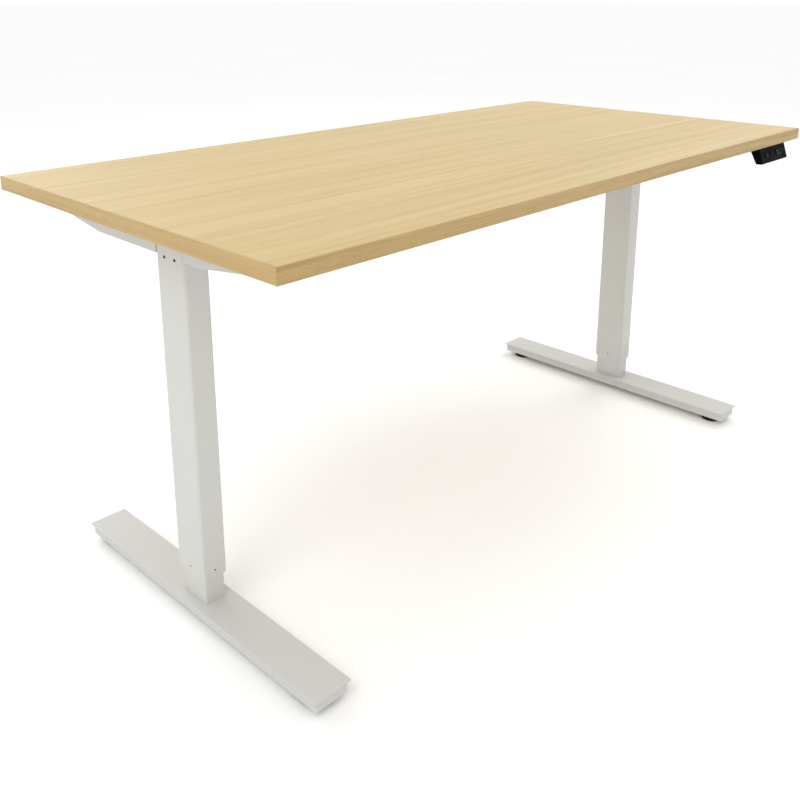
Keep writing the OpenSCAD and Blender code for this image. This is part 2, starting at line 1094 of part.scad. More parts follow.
module control_box_base() {
  color(black)
    difference() {
      union() {
        translate([-box_width / 2 - box_ear, box_front, box_top])
          cube([box_width + 2 * box_ear, box_depth, box_base]);
        for (sx = [-1, 1]) {
          for (sy = [-1, 1]) {
            translate([sx * (box_width / 2 - 16), box_middle + sy * (box_depth / 2 - 16),
              board_low + board_thickness])
              cylinder(h = box_top - board_low - board_thickness + eps, r = post_radius);
          }
        }
      }
      for (at = box_screws) {
        translate([at[0], at[1], box_top - 1])
          cylinder(h = box_base + 2, r = screw_radius + bolt_clear);
      }
    }
}

module control_box_cover() {
  color(black)
    difference() {
      translate([0, box_middle, box_low])
        rounded_box(box_width, box_depth, box_height, 4);
      translate([0, box_middle, box_low + box_wall])
        rounded_box(box_width - 2 * box_wall, box_depth - 2 * box_wall, box_height, 1.5);
      // Lead entries
      rod_x([-box_width, box_middle, lead_entry_z], 2 * box_width, lead_radius + slide_gap);
      rod_y([60, box_front - 1, lead_entry_z], box_wall + 2, handset_lead_radius + slide_gap);
      // Window of the mains inlet
      translate([inlet_x, box_front + box_depth, inlet_z])
        cube([inlet_width + 2 * snug, 3 * box_wall, inlet_height + 2 * snug], center = true);
    }
}

module control_board() {
  color(board_green) {
    translate([-box_width / 2 + board_margin, box_front + board_margin, board_low])
      cube([box_width - 2 * board_margin, box_depth - inlet_depth - board_margin - 4, board_thickness]);
    translate([-box_width / 2 + 24, box_front + 20, board_low + board_thickness - eps])
      cube([46, 34, 14]);
    for (i = [0:3]) {
      translate([-26 + i * 22, box_front + 60, board_low + board_thickness - eps])
        cylinder(h = 16, r = 6);
    }
  }
}

module mains_inlet() {
  back = box_front + box_depth;
  color(black)
    difference() {
      union() {
        translate([inlet_x - inlet_width / 2, back - inlet_depth, inlet_z - inlet_height / 2])
          cube([inlet_width, inlet_depth, inlet_height]);
        translate([inlet_x - inlet_width / 2 - 2, back, inlet_z - inlet_height / 2 - 2])
          cube([inlet_width + 4, inlet_lip, inlet_height + 4]);
      }
      difference() {
        translate([inlet_x - inlet_mouth_width / 2, back + inlet_lip - inlet_mouth_depth,
          inlet_z - inlet_mouth_height / 2])
          cube([inlet_mouth_width, inlet_mouth_depth + 1, inlet_mouth_height]);
        // Three flat pins at the bottom of the recess
        for (i = [-1:1]) {
          translate([inlet_x + i * 7 - 2, back + inlet_lip - inlet_mouth_depth - 1,
            inlet_z - (i == 0 ? -2 : 4)])
            cube([4, inlet_pin_length + 1, 2]);
        }
      }
    }
}

module control_box_screws() {
  color(steel)
    for (at = box_screws) {
      wood_screw(at[0], at[1], box_top, screw_depth + box_base,
        screw_radius, screw_head_radius, screw_head);
    }
}

module left_motor_lead() {
  color(black)
    mirror([1, 0, 0])
      lead(motor_route, lead_radius, lead_bend, [0, 0, 1]);
}

module right_motor_lead() {
  color(black)
    lead(motor_route, lead_radius, lead_bend, [0, 0, 1]);
}

module handset_lead() {
  color(black)
    lead(handset_route, handset_lead_radius, 6, [0, 0, 1]);
}

// A clip round a lead, on the run between two route points
module lead_clip(from, to, share, radius) {
  at = from + (to - from) * share;
  turn = atan2(to[1] - from[1], to[0] - from[0]);
  translate([at[0], at[1], 0])
    rotate([0, 0, turn])
      difference() {
        translate([-clip_length / 2, -clip_width / 2, clip_low])
          cube([clip_length, clip_width, top_under - clip_low]);
        rod_x([-clip_length, 0, lead_run_z], 2 * clip_length, radius + snug);
      }
}

module lead_clips() {
  color(black) {
    for (side = [-1, 1]) {
      for (share = [0.15, 0.85]) {
        mirrored(side)
          lead_clip(motor_route[3], motor_route[4], share, lead_radius);
      }
    }
    for (share = [0.2, 0.8]) {
      lead_clip(handset_route[2], handset_route[3], share, handset_lead_radius);
    }
  }
}

// --- Hand control ----------------------------------------------------------

// Y of the sloping front face at a level
function face_y(level) =
  handset_front + (level - handset_low) * tan(handset_tilt);

// Y of the sloping rear face at a level, moved in by the given amount
function rear_y(level, inset) =
  handset_front + handset_depth - inset / cos(handset_rear_tilt)
    + (level - handset_low) * tan(handset_rear_tilt);

// The hand control's body, with its outer faces moved in and its top moved up
module handset_body(inset, rise) {
  corner = handset_corner - inset;
  half = handset_width / 2 - inset;
  low = handset_low + inset;
  top = handset_top + rise;
  reach = 40;
  intersection() {
    translate([handset_x, 0, 0])
      push_x(handset_width)
        polygon([
          [handset_front - reach, low],
          [handset_front - reach, top],
          [rear_y(top, inset), top],
          [rear_y(low, inset), low]
        ]);
    on_face(0)
      translate([0, reach, -inset])
        rotate([90, 0, 0])
          linear_extrude(2 * reach)
            union() {
              translate([-half + corner, -reach])
                square([2 * (half - corner), reach]);
              translate([-half, -reach])
                square([2 * half, reach - corner]);
              for (sx = [-1, 1]) {
                translate([sx * (half - corner), -corner])
                  circle(corner);
              }
            }
  }
}

// Children are drawn on the front face: X along it, Y up it and Z out of it
module on_face(x) {
  translate([handset_x + x, face_y(handset_mid), handset_mid])
    rotate([90 - handset_tilt, 0, 0])
      children();
}

module handset_plate() {
  front = face_y(handset_top) - plate_over;
  half = handset_width / 2 + plate_over;
  corner = handset_corner;
  color(black)
    difference() {
      translate([handset_x, 0, handset_top])
        linear_extrude(flange_thickness)
          union() {
            translate([-half + corner, front])
              square([2 * (half - corner), handset_back - front]);
            translate([-half, front + corner])
              square([2 * half, handset_back - front - corner]);
            for (sx = [-1, 1]) {
              translate([sx * (half - corner), front + corner])
                circle(corner);
            }
          }
      for (at = handset_screws_at) {
        translate([at[0], at[1], handset_top - 1])
          cylinder(h = flange_thickness + 2, r = handset_screw_radius + bolt_clear);
      }
    }
}

// An open-topped shell with a ledge behind it that carries the screws
module handset_housing() {
  ledge_low = handset_top - handset_ledge;
  ledge_front = rear_y(ledge_low, 0) - 1;
  color(black)
    difference() {
      union() {
        difference() {
          handset_body(0, 0);
          handset_body(handset_wall, 1);
          for (sx = [-1, 1]) {
            on_face(sx * key_x)
              cube([key_width + 2 * slide_gap, key_height + 2 * slide_gap, 4 * handset_wall],
                center = true);
          }
        }
        translate([handset_x - handset_width / 2, ledge_front, ledge_low])
          cube([handset_width, handset_back - ledge_front, handset_ledge]);
        // Posts that hold the board
        for (sx = [-1, 1]) {
          on_face(sx * handset_post_x)
            translate([0, 0, handset_board_top])
              cylinder(h = -handset_board_top - handset_wall + 1, r = post_radius);
        }
      }
      for (at = handset_screws_at) {
        translate([at[0], at[1], ledge_low - 1])
          cylinder(h = handset_ledge + 2, r = handset_screw_radius + bolt_clear);
      }
      // Outlet of the lead
      rod_y([handset_x, handset_exit_y - 3 * handset_wall, handset_exit_z], 6 * handset_wall,
        handset_lead_radius + slide_gap);
    }
}

module handset_board() {
  color(board_green) {
    on_face(0)
      translate([-handset_board_width / 2, -handset_board_height / 2,
        handset_board_top - board_thickness])
        cube([handset_board_width, handset_board_height, board_thickness]);
    for (sx = [-1, 1]) {
      on_face(sx * key_x)
        translate([0, 0, handset_board_top - eps])
          cylinder(h = switch_height + eps, r = switch_radius);
    }
  }
}

// A push key with a flange behind the front wall and an arrow cut in its face
module key(x, turn) {
  color(black)
    on_face(x)
      difference() {
        union() {
          translate([0, 0, -key_deep])
            rounded_box(key_width, key_height, key_deep + key_proud, 2);
          translate([-key_width / 2 - key_flange, -key_height / 2 - key_flange,
            -handset_wall - key_flange_gap - key_flange_thickness])
            cube([key_width + 2 * key_flange, key_height + 2 * key_flange, key_flange_thickness]);
        }
        translate([0, 0, key_proud - key_mark_depth])
          rotate([0, 0, turn])
            cylinder(h = 1, r = key_mark_radius, $fn = 3);
      }
}

module up_key() {
  key(key_x, 90);
}

module down_key() {
  key(-key_x, -90);
}

module handset_screws() {
  color(steel)
    for (at = handset_screws_at) {
      level = handset_top - handset_ledge;
      wood_screw(at[0], at[1], level, top_under + screw_depth - level,
        handset_screw_radius, handset_screw_head, screw_head);
    }
}

// --- Drawing ---------------------------------------------------------------

worktop_panel();
edge_bands_long();
edge_bands_short();
worktop_screws();
left_top_bracket();
right_top_bracket();
front_rail();
back_rail();
rail_bolts();
left_outer_tube();
right_outer_tube();
left_slide_collar();
right_slide_collar();
left_gearbox();
right_gearbox();
gearbox_screws();
left_motor();
right_motor();
spindle_bearings();
left_spindle();
right_spindle();
left_worm_wheel();
right_worm_wheel();
left_inner_tube();
right_inner_tube();
left_guide_pad();
right_guide_pad();
left_spindle_nut();
right_spindle_nut();
column_base_plugs();
left_foot_plate();
right_foot_plate();
left_foot_body();
right_foot_body();
foot_anchor_blocks();
column_bolts();
glide_nuts();
glide_left_front();
glide_left_back();
glide_right_front();
glide_right_back();
control_box_base();
control_box_cover();
control_board();
mains_inlet();
control_box_screws();
left_motor_lead();
right_motor_lead();
handset_lead();
lead_clips();
handset_plate();
handset_housing();
handset_board();
up_key();
down_key();
handset_screws();
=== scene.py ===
"""Height adjustable standing desk: materials, finished pieces, light and camera.

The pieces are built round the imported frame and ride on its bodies. Blender works in metres.
Sizes of pieces are written in millimetres, as in the CAD, and MM turns them into metres.
"""

import json
import math

import bmesh
import bpy
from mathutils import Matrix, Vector


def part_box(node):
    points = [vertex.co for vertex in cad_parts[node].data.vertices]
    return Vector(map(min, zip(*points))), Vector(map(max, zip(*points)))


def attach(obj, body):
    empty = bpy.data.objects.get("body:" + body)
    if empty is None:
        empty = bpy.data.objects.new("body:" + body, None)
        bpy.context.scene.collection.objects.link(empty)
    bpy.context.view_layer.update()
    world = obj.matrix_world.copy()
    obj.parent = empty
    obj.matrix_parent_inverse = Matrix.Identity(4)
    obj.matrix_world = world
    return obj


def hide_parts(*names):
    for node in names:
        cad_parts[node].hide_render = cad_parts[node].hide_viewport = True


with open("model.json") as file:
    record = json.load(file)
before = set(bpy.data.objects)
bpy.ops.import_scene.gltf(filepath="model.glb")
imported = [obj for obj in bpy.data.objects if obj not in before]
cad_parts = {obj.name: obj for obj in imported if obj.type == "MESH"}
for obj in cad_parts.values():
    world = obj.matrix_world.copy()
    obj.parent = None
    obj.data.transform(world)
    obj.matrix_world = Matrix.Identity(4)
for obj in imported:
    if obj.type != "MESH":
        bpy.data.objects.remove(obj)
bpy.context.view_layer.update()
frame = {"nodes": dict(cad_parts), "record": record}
nodes = frame["nodes"]
MM = 0.001
WHITE = (1.0, 1.0, 1.0)


# --- Materials -------------------------------------------------------------


class Paint:
    """One node material, built step by step round a Principled shader."""

    def __init__(self, name, roughness=0.5, metallic=0.0, specular=0.5):
        self.material = bpy.data.materials.new(name)
        self.material.use_nodes = True
        self.tree = self.material.node_tree
        self.shader = self.tree.nodes["Principled BSDF"]
        self.shader.inputs["Roughness"].default_value = roughness
        self.shader.inputs["Metallic"].default_value = metallic
        self.shader.inputs["Specular IOR Level"].default_value = specular
        self.place = self.node("ShaderNodeTexCoord").outputs["Object"]

    def node(self, kind, **settings):
        made = self.tree.nodes.new(kind)
        for key, value in settings.items():
            setattr(made, key, value)
        return made

    def feed(self, socket, value):
        """A socket takes either a constant or another node's output."""
        if isinstance(value, bpy.types.NodeSocket):
            self.tree.links.new(value, socket)
        else:
            socket.default_value = value

    def stretched(self, scale, vector=None):
        """The object's own coordinates, scaled differently along each axis."""
        made = self.node("ShaderNodeMapping")
        self.feed(made.inputs["Vector"], vector or self.place)
        made.inputs["Scale"].default_value = scale
        return made.outputs["Vector"]

    def noise(self, vector, scale=1.0, detail=2.0, rough=0.5):
        made = self.node("ShaderNodeTexNoise")
        self.feed(made.inputs["Vector"], vector)
        made.inputs["Scale"].default_value = scale
        made.inputs["Detail"].default_value = detail
        made.inputs["Roughness"].default_value = rough
        return made.outputs["Fac"]

    def ramp(self, factor, *stops):
        """Colours at positions, given as (position, (r, g, b)) or (position, grey)."""
        made = self.node("ShaderNodeValToRGB")
        self.feed(made.inputs["Fac"], factor)
        marks = made.color_ramp.elements
        while len(marks) < len(stops):
            marks.new(0.5)
        for mark, (position, colour) in zip(marks, stops):
            mark.position = position
            mark.color = (*((colour,) * 3 if isinstance(colour, float) else colour), 1)
        return made.outputs["Color"]

    def mix(self, factor, a, b, blend="MIX"):
        made = self.node("ShaderNodeMix", data_type="RGBA", blend_type=blend)
        self.feed(made.inputs[0], factor)
        for socket, value in ((made.inputs[6], a), (made.inputs[7], b)):
            self.feed(socket, (*value, 1) if isinstance(value, tuple) else value)
        return made.outputs[2]

    def times(self, a, b):
        """One colour multiplied by another."""
        return self.mix(1.0, a, b, "MULTIPLY")

    def spread(self, factor, low, high):
        """A 0 to 1 value carried into low to high."""
        made = self.node("ShaderNodeMapRange")
        self.feed(made.inputs["Value"], factor)
        made.inputs["To Min"].default_value = low
        made.inputs["To Max"].default_value = high
        return made.outputs["Result"]

    def bump(self, height, strength, distance, after=None):
        made = self.node("ShaderNodeBump")
        made.inputs["Strength"].default_value = strength
        made.inputs["Distance"].default_value = distance
        self.feed(made.inputs["Height"], height)
        if after is not None:
            self.feed(made.inputs["Normal"], after)
        return made.outputs["Normal"]

    def finish(self, colour, normal=None, roughness=None):
        self.feed(self.shader.inputs["Base Color"], colour)
        if normal is not None:
            self.feed(self.shader.inputs["Normal"], normal)
        if roughness is not None:
            self.feed(self.shader.inputs["Roughness"], roughness)
        return self.material


def shade(colour, factor):
    """A colour made darker or lighter."""
    return tuple(min(c * factor, 1) for c in colour)


def oak(name, light, middle, dark, along):
    """Straight-grained oak print. along names the axis that the grain runs on, X or Y."""
    roughness = 0.42
    sway_reach = 0.018
    pore_tint = (0.86, 0.80, 0.72)
    paint = Paint(name, roughness, specular=0.4)

    def lengthways(slow, fast):
        return (slow, fast, fast) if along == "X" else (fast, slow, fast)

    # The grain lines sway a little from side to side
    waver = paint.noise(paint.stretched(lengthways(1.1, 3.0)), detail=1.0)
    sway = paint.node("ShaderNodeVectorMath", operation="SCALE")
    sway.inputs[0].default_value = lengthways(0.0, 1.0)
    paint.feed(sway.inputs["Scale"], paint.spread(waver, -sway_reach, sway_reach))
    moved = paint.node("ShaderNodeVectorMath", operation="ADD")
    paint.feed(moved.inputs[0], paint.place)
    paint.feed(moved.inputs[1], sway.outputs[0])
    grain = moved.outputs[0]

    # From the broadest marks to the finest
    broad = paint.noise(paint.stretched(lengthways(0.55, 6.5), grain), detail=3.0)
    streak = paint.noise(
        paint.stretched(lengthways(0.9, 55.0), grain), detail=5.0, rough=0.62
    )
    fibre = paint.noise(paint.stretched(lengthways(5.0, 520.0), grain), detail=2.0)
    pore = paint.noise(paint.stretched(lengthways(26.0, 900.0), grain), detail=1.0)

    body = paint.ramp(broad, (0.30, light), (0.52, middle), (0.72, light))
    lines = paint.ramp(streak, (0.36, 1.0), (0.56, 0.55), (0.68, 0.0))
    figured = paint.mix(0.55, body, paint.mix(lines, dark, body))
    fibred = paint.times(figured, paint.ramp(fibre, (0.30, 0.93), (0.70, 1.05)))
    dashes = paint.ramp(pore, (0.60, 0.0), (0.72, 1.0))
    pored = paint.times(fibred, paint.mix(dashes, WHITE, pore_tint))
    normal = paint.bump(fibre, 0.10, 0.0002, paint.bump(dashes, -0.25, 0.0001))
    return paint.finish(
        pored, normal, paint.spread(streak, roughness - 0.05, roughness + 0.10)
    )


def powder_coat(name, colour):
    """Fine orange-peel powder coat: soft sheen with a barely uneven tone."""
    paint = Paint(name, specular=0.4)
    cloud = paint.noise(paint.place, 3.0)
    tone = paint.ramp(cloud, (0.3, shade(colour, 0.985)), (0.7, shade(colour, 1.01)))
    speck = paint.ramp(paint.noise(paint.place, 2600.0, 1.0), (0.35, 0.965), (0.65, 1.01))
    peel = paint.noise(paint.place, 750.0, 2.0, 0.6)
    return paint.finish(
        paint.times(tone, speck),
        paint.bump(peel, 0.22, 0.00025),
        paint.spread(peel, 0.42, 0.60),
    )


def plastic(name, colour, roughness, grain, depth, specular=0.35):
    """Moulded plastic with a spark-eroded grain of the given fineness."""
    paint = Paint(name, roughness, specular=specular)
    pits = paint.noise(paint.place, grain, 2.0, 0.6)
    cloud = paint.noise(paint.place, 35.0)
    return paint.finish(
        paint.ramp(cloud, (0.3, shade(colour, 0.88)), (0.7, shade(colour, 1.12))),
        paint.bump(pits, depth, 0.0001),
        paint.spread(pits, roughness - 0.06, roughness + 0.08),
    )


def metal(name, colour, roughness, brushed=WHITE, fineness=900.0, metallic=1.0):
    """Bare or plated metal. A small number in brushed draws the marks out along its axis."""
    paint = Paint(name, roughness, metallic)
    marks = paint.noise(paint.stretched(brushed), fineness, 3.0, 0.6)
    patches = paint.noise(paint.place, 60.0, 3.0)
    tone = paint.times(
        paint.ramp(patches, (0.3, shade(colour, 0.90)), (0.7, colour)),
        paint.ramp(marks, (0.3, 0.94), (0.7, 1.0)),
    )
    return paint.finish(
        tone,
        paint.bump(marks, 0.12, 0.00015),
        paint.spread(marks, roughness - 0.08, roughness + 0.10),
    )


def circuit_board(name):
    """Green solder mask over fine copper tracks."""
    paint = Paint(name, 0.35, specular=0.5)
    tracks = paint.node("ShaderNodeTexBrick", offset=0.37)
    paint.feed(tracks.inputs["Vector"], paint.place)
    tracks.inputs["Scale"].default_value = 60.0
    tracks.inputs["Mortar Size"].default_value = 0.035
    tracks.inputs["Color1"].default_value = (0.012, 0.105, 0.045, 1)
    tracks.inputs["Color2"].default_value = (0.010, 0.090, 0.040, 1)
    tracks.inputs["Mortar"].default_value = (0.030, 0.190, 0.080, 1)
    fine = paint.noise(paint.place, 400.0)
    return paint.finish(tracks.outputs["Color"], paint.bump(fine, 0.05, 0.0001))


# The light, middle and dark of the oak print
TOP_OAK = ((0.562, 0.425, 0.198), (0.517, 0.381, 0.161), (0.422, 0.292, 0.107))
EDGE_OAK = ((0.522, 0.371, 0.159), (0.465, 0.318, 0.123), (0.300, 0.183, 0.056))
COAT = (0.565, 0.564, 0.540)
BRUSHED_UPRIGHT = (1.0, 1.0, 0.1)

finish = {
    "oak_laminate": oak("oak_laminate", *TOP_OAK, "X"),
    "oak_edge": oak("oak_edge_long", *EDGE_OAK, "X"),
    "white_coat": powder_coat("white_coat", COAT),
    "zinc_steel": metal("zinc_steel", (0.62, 0.63, 0.65), 0.36),
    "spindle_steel": metal("spindle_steel", (0.55, 0.56, 0.58), 0.28, BRUSHED_UPRIGHT),
    "cast_alloy": metal("cast_alloy", (0.50, 0.51, 0.53), 0.55, fineness=450.0),
    "bronze": metal("bronze", (0.60, 0.42, 0.18), 0.34),
    "black_screw": metal("black_screw", (0.035, 0.035, 0.04), 0.42, metallic=0.6),
    "motor_coat": plastic("motor_coat", (0.022, 0.022, 0.024), 0.38, 1400.0, 0.15),
    "pale_plastic": plastic("pale_plastic", (0.600, 0.600, 0.575), 0.48, 1100.0, 0.12),
    "black_plastic": plastic(
        "black_plastic", (0.0025, 0.0025, 0.003), 0.40, 1300.0, 0.12, 0.018
    ),
    "key_plastic": plastic(
        "key_plastic", (0.0035, 0.0035, 0.004), 0.34, 1600.0, 0.06, 0.025
    ),
    "glide_plastic": plastic("glide_plastic", (0.006, 0.006, 0.006), 0.5, 900.0, 0.2, 0.2),
    "board_green": circuit_board("board_green"),
    "lead_rubber": plastic("lead_rubber", (0.016, 0.016, 0.016), 0.62, 2200.0, 0.12, 0.25),
}
oak_edge_short = oak("oak_edge_short", *EDGE_OAK, "Y")
mark_paint = plastic("key_mark", (0.030, 0.030, 0.032), 0.45, 1600.0, 0.05, 0.04)
slot_of = {row["node"]: row["material_slot"] for row in frame["record"]["subparts"]}


def wear(obj, material):
    """Gives an object one material in each of its slots."""
    if not obj.material_slots:
        obj.data.materials.append(material)
    for place in obj.material_slots:
        place.material = material


for name, obj in nodes.items():
    wear(obj, finish[slot_of[name]])
wear(nodes["edge_bands_short"], oak_edge_short)


# --- Ways to make a piece --------------------------------------------------


body_of = {
    node: body
    for body, held in frame["record"]["behaviour"]["bodies"].items()
    for node in held
}


def middle_of(node):
    """The centre of a CAD node's box, in millimetres."""
    low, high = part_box(node)
    return (low + high) / 2 / MM


def piece(name, bm, node, material=None, slot=None, replaces=True, weighted=True):
    """A finished piece from a bmesh. It rides on its CAD node's body."""
    sharp_turn = math.radians(35)
    mesh = bpy.data.meshes.new(name)
    bm.to_mesh(mesh)
    bm.free()
    mesh.shade_smooth()
    mesh.set_sharp_from_angle(angle=sharp_turn)
    obj = bpy.data.objects.new(name, mesh)
    bpy.context.scene.collection.objects.link(obj)
    if weighted:
        even = obj.modifiers.new("even_normals", "WEIGHTED_NORMAL")
        even.keep_sharp = True
    slot = slot or slot_of[node]
    wear(obj, material or finish[slot])
    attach(obj, body_of[node])
    if replaces:
        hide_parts(node)
    return obj


def finished(bm, name, node, **more):
    """A piece whose faces are first turned outwards."""
    bmesh.ops.recalc_face_normals(bm, faces=bm.faces)
    return piece(name, bm, node, weighted=False, **more)


def copy_of(node):
    """The CAD node's shape as a bmesh, with its flat faces made whole."""
    same_place = 0.002 * MM
    same_plane = math.radians(0.6)
    bm = bmesh.new()
    bm.from_mesh(nodes[node].data)
    bmesh.ops.remove_doubles(bm, verts=bm.verts, dist=same_place)
    bmesh.ops.dissolve_limit(
        bm, angle_limit=same_plane, verts=bm.verts, edges=bm.edges, delimit=set()
    )
    return bm


def sharp_edges(bm, least=0.0, angle=30):
    """Outward edges of at least the given length that turn by more than the angle."""
    return [
        e
        for e in bm.edges
        if e.is_manifold
        and e.is_convex
        and e.calc_face_angle(0) > math.radians(angle)
        and e.calc_length() >= least
    ]


def round_off(bm, edges, radius, segments=3):
    """Rounds edges off to a radius in metres."""
    bmesh.ops.bevel(
        bm,
        geom=edges,
        offset=radius,
        offset_type="OFFSET",
        segments=segments,
        profile=0.5,
        affect="EDGES",
        clamp_overlap=True,
    )


def softened(name, node, radius, least=8 * MM, segments=3, choose=None, **more):
    """The CAD node with its longer outward edges rounded off, or those that are chosen."""
    bm = copy_of(node)
    edges = [e for e in sharp_edges(bm, least) if choose is None or choose(e)]
    round_off(bm, edges, radius, segments)
    return piece(name, bm, node, **more)


def lathe(bm, profile, steps, centre=(0, 0, 0), axis="Z", wave=None):
    """Turns (radius, height) points round an axis. wave changes a radius by its angle."""
    rings = []
    for radius, height in profile:
        ring = []
        for k in range(steps if radius > 0 else 1):
            a = 2 * math.pi * k / steps
            r = wave(radius, a) if wave else radius
            x, y = r * math.cos(a), r * math.sin(a)
            at = {"Z": (x, y, height), "Y": (-x, height, y), "X": (height, x, y)}[axis]
            ring.append(bm.verts.new([c + o for c, o in zip(centre, at)]))
        rings.append(ring)
    for low, high in zip(rings, rings[1:]):
        for k in range(steps):
            n = (k + 1) % steps
            around = ((low, k), (low, n), (high, n), (high, k))
            corners = [ring[i % len(ring)] for ring, i in around]
            unique = list(dict.fromkeys(corners))
            if len(unique) > 2:
                bm.faces.new(unique)
    for ring, flip in ((rings[0], True), (rings[-1], False)):
        if len(ring) > 1:
            bm.faces.new(ring[::-1] if flip else ring)


def in_metres(profile):
    """A lathe profile in millimetres, turned into metres."""
    return [(radius * MM, height * MM) for radius, height in profile]


def hexagon(angle, across):
    """Distance from the middle of a hexagon to its side, at an angle."""
    turn = (angle + math.pi / 6) % (math.pi / 3) - math.pi / 6
    return across / 2 / math.cos(turn)


def rounded_route(route, reach, steps=8):
    """A lead's route, in millimetres, with each corner replaced by a smooth bend."""
    points = [Vector(p) * MM for p in route]
    path = [points[0]]
    for before, corner, after in zip(points, points[1:], points[2:]):
        a = corner + (before - corner).normalized() * reach
        b = corner + (after - corner).normalized() * reach
        for k in range(steps + 1):
            t = k / steps
            path.append(a * (1 - t) ** 2 + corner * (2 * t * (1 - t)) + b * t * t)
    return path + [points[-1]]


def tube(bm, path, radius, sides=16):
    """A closed round tube along a path, without twist."""
    side = Vector((0, 0, 1))
    rings = []
    for i, point in enumerate(path):
        ahead = path[min(i + 1, len(path) - 1)]
        behind = path[max(i - 1, 0)]
        heading = (ahead - behind).normalized()
        side = (side - heading * side.dot(heading)).normalized()
        across = heading.cross(side)
        ring = []
        for k in range(sides):
            a = 2 * math.pi * k / sides
            ring.append(
                bm.verts.new(point + (side * math.cos(a) + across * math.sin(a)) * radius)
            )
        rings.append(ring)
    for low, high in zip(rings, rings[1:]):
        for k in range(sides):
            n = (k + 1) % sides
            bm.faces.new((low[k], low[n], high[n], high[k]))
    bm.faces.new(rings[0][::-1])
    bm.faces.new(rings[-1])


def lead(name, node, route, bend, radius):
    """A cable that follows the same points as its CAD node."""
    bm = bmesh.new()
    tube(bm, rounded_route(route, bend * MM), radius * MM)
    finished(bm, name, node)


# --- Worktop, frame, columns and feet --------------------------------------


band_easing = 0.4 * MM
softened("edge_band_front_back", "edge_bands_long", band_easing)
softened("edge_band_sides", "edge_bands_short", band_easing, material=oak_edge_short)

column_x = middle_of("right_outer_tube").x
tube_low, tube_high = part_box("right_outer_tube")
tube_half_width = (tube_high.x - tube_low.x) / 2 / MM
tube_half_depth = (tube_high.y - tube_low.y) / 2 / MM


def beyond_column(edge):
    """False for a bracket's edges round its column, which stay sharp to meet the tube."""
    clear = 5
    return any(abs(v.co.y) > (tube_half_depth + clear) * MM for v in edge.verts)


def on_cover_outline(edge):
    """True for an edge round the foot's cover plate, not round the holes in it."""
    low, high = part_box("right_foot_plate")
    rim = 6 * MM
    places = [(abs(v.co.x), abs(v.co.y)) for v in edge.verts]
    return all(
        x > high.x - rim or x < low.x + rim or y > high.y - rim for x, y in places
    )


for side in ("left", "right"):
    softened(
        f"{side}_bracket_pressing",
        f"{side}_top_bracket",
        radius=0.9 * MM,
        least=15 * MM,
        choose=beyond_column,
    )
    softened(
        f"{side}_foot_cover",
        f"{side}_foot_plate",
        radius=1.2 * MM,
        least=0.1 * MM,
        choose=on_cover_outline,
    )
    softened(f"{side}_foot_tray", f"{side}_foot_body", radius=0.8 * MM, least=20 * MM)
for end in ("front", "back"):
    softened(f"{end}_rail_tube", f"{end}_rail", radius=1.2 * MM, least=15 * MM)


def screw_head(bm, centre, out):
    """A domed button head with a hexagon socket, standing out along +X or -X."""
    socket_across, socket_floor = 2.6, 0.25
    dome = [(2.75, 0.0), (2.75, 0.3), (2.6, 0.6), (2.25, 0.86), (1.75, 1.0)]
    socket = [(socket_across, 0.95), (socket_across, socket_floor), (0.0, socket_floor)]
    outline = [(radius, out * height) for radius, height in dome + socket]

    # Six-sided wherever the outline gives the socket's number, which one dome ring does too
    def six_sided(radius, angle):
        return hexagon(angle, radius) if radius == socket_across * MM else radius

    lathe(bm, in_metres(outline), 36, centre, "X", wave=six_sided)


def column_screws():
    """Black button screws near the head of each column, with their shanks."""
    level = middle_of("gearbox_screws").z
    shank_radius, shank_length, beside_middle = 2.0, 7.5, 15.0
    bm = bmesh.new()
    for middle in (-column_x, column_x):
        for out in (-1, 1):
            for y in (-beside_middle, beside_middle):
                start = Vector((middle + out * tube_half_width, y, level)) * MM
                screw_head(bm, start, out)
                shank = [(shank_radius, -out * shank_length), (shank_radius, 0.0)]
                lathe(bm, in_metres(shank), 24, start, "X")
    finished(bm, "column_button_screws", "gearbox_screws")


def peg_hole_shade_discs():
    """Dark discs on the ends of the collars' pegs, sunk in the upper tubes' faces: painted
    shade, dark plastic standing in for the shade inside the peg holes.
    """
    above_tube_end = 11.0
    radius, deep, shallow = 1.6, 0.9, 0.45
    level = tube_low.z / MM + above_tube_end
    bm = bmesh.new()
    for middle in (-column_x, column_x):
        for axis, half in (("X", tube_half_width), ("Y", tube_half_depth)):
            for out in (-1, 1):
                disc = [(radius, out * (half - deep)), (radius, out * (half - shallow))]
                lathe(bm, in_metres(disc), 24, Vector((middle, 0, level)) * MM, axis)
    # The discs are painted shade: dark plastic put where the peg holes would only be shadowed
    finished(
        bm, "collar_peg_hole_painted_shade", "left_slide_collar", slot="black_plastic", replaces=False
    )


column_screws()
peg_hole_shade_discs()


# --- Leads, on the same routes as the CAD's --------------------------------


motor_route = [
    (column_x, 152.0, 702.0),
    (column_x, 172.0, 702.0),
    (column_x - 52.0, 172.0, 702.0),
    (column_x - 120.0, 140.0, 729.0),
    (180.0, 60.0, 729.0),
    (150.0, 60.0, 722.0),
    (118.0, 60.0, 722.0),
]
for side, sign in (("left", -1), ("right", 1)):
    route = [(sign * x, y, z) for x, y, z in motor_route]
    lead(f"{side}_motor_cable", f"{side}_motor_lead", route, bend=12, radius=2.5)

handset_x = middle_of("handset_housing").x
handset_route = [
    (handset_x, -378.11, 723.5),
    (handset_x, -316.0, 723.5),
    (handset_x - 60.0, -316.0, 729.0),
    (handset_x - 360.0, -200.0, 729.0),
    (60.0, -120.0, 729.0),
    (60.0, -24.0, 729.0),
    (60.0, -10.0, 722.0),
    (60.0, 12.0, 722.0),
]
lead("handset_cable", "handset_lead", handset_route, bend=6, radius=2.0)
softened("cable_clips", "lead_clips", radius=0.8 * MM, least=5 * MM)


# --- Hand control: a lip plate, a rounded shell and two keys with arrows ---


